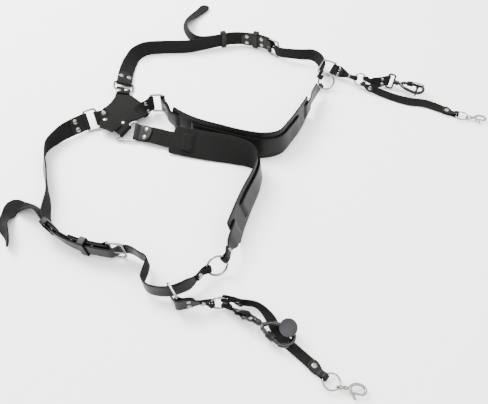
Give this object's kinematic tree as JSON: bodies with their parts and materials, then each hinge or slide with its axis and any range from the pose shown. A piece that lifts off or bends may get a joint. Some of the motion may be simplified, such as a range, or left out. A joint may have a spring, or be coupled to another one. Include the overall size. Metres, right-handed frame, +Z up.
{
  "type": "dual camera harness",
  "caption": "Leather shoulder harness laid in arm loops from a back yoke, with padded shoulder straps, side buckles and hooked leashes for cameras.",
  "frame": {"origin": "centre of the laid harness's box, on the surface it lies on", "axes": "+Z up from the surface; the leashes run towards +X, and the camera in the picture looks along +Y and down"},
  "size_m": [0.8418, 0.9326, 0.0508],
  "materials": {
    "leather": "semi-gloss black grain outside, matt charcoal inside",
    "chrome": "polished",
    "gunmetal": "dark polished",
    "nickel": "bright satin"
  },
  "bodies": {
    "harness": {"back_yoke": "leather", "near_side_ring": "chrome", "near_shoulder_ring": "chrome", "near_front_ring": "chrome", "near_shoulder_strap": "leather", "near_shoulder_pad": "leather", "near_side_strap": "leather", "near_keeper_fixed": "leather", "near_keeper_sliding": "leather", "near_buckle_frame": "chrome", "near_buckle_prong": "chrome", "near_front_strap": "leather", "near_slider_ring": "chrome", "near_leash_ring": "chrome", "near_leash_link": "leather", "near_key_ring": "nickel", "near_safety_strap": "leather", "near_clasp_swivel": "nickel", "near_clasp_body": "nickel", "near_hook_strap": "leather", "near_hook_eye": "gunmetal", "near_hook_body": "gunmetal", "near_camera_plate": "gunmetal", "far_side_ring": "chrome", "far_shoulder_ring": "chrome", "far_front_ring": "chrome", "far_shoulder_strap": "leather", "far_shoulder_pad": "leather", "far_side_strap": "leather", "far_keeper_fixed": "leather", "far_keeper_sliding": "leather", "far_buckle_frame": "chrome", "far_buckle_prong": "chrome", "far_front_strap": "leather", "far_slider_ring": "chrome", "far_leash_ring": "chrome", "far_leash_link": "leather", "far_key_ring": "nickel", "far_safety_strap": "leather", "far_clasp_swivel": "nickel", "far_clasp_body": "nickel", "far_hook_strap": "leather", "far_hook_eye": "gunmetal", "far_hook_body": "gunmetal", "far_camera_plate": "gunmetal"},
    "near_gate": {"near_hook_gate": "gunmetal"},
    "near_sleeve": {"near_hook_sleeve": "gunmetal"},
    "near_lever": {"near_clasp_lever": "nickel"},
    "far_gate": {"far_hook_gate": "gunmetal"},
    "far_sleeve": {"far_hook_sleeve": "gunmetal"},
    "far_lever": {"far_clasp_lever": "nickel"}
  },
  "joints": [
    {"name": "near_gate_hinge", "type": "hinge", "parent": "harness", "child": "near_gate", "pos_m": [-0.00655, -0.37868, 0.01273], "axis": [0, 0, 1], "range_deg": [0, 22], "stiffness_Nm_per_rad": 0.002},
    {"name": "near_sleeve_slide", "type": "slide", "parent": "near_gate", "child": "near_sleeve", "axis": [0.6927, -0.7212, 0], "range_m": [0, 0.004]},
    {"name": "near_lever_hinge", "type": "hinge", "parent": "harness", "child": "near_lever", "pos_m": [0.09895, -0.45785, 0.00633], "axis": [0, 0, 1], "range_deg": [0, 18], "stiffness_Nm_per_rad": 0.001},
    {"name": "far_gate_hinge", "type": "hinge", "parent": "harness", "child": "far_gate", "pos_m": [0.28478, 0.15036, 0.01573], "axis": [0, 0, -1], "range_deg": [0, 22], "stiffness_Nm_per_rad": 0.002},
    {"name": "far_sleeve_slide", "type": "slide", "parent": "far_gate", "child": "far_sleeve", "axis": [0.975, -0.2223, 0], "range_m": [0, 0.004]},
    {"name": "far_lever_hinge", "type": "hinge", "parent": "harness", "child": "far_lever", "pos_m": [0.40127, 0.05175, 0.00633], "axis": [0, 0, 1], "range_deg": [0, 18], "stiffness_Nm_per_rad": 0.001}
  ]
}
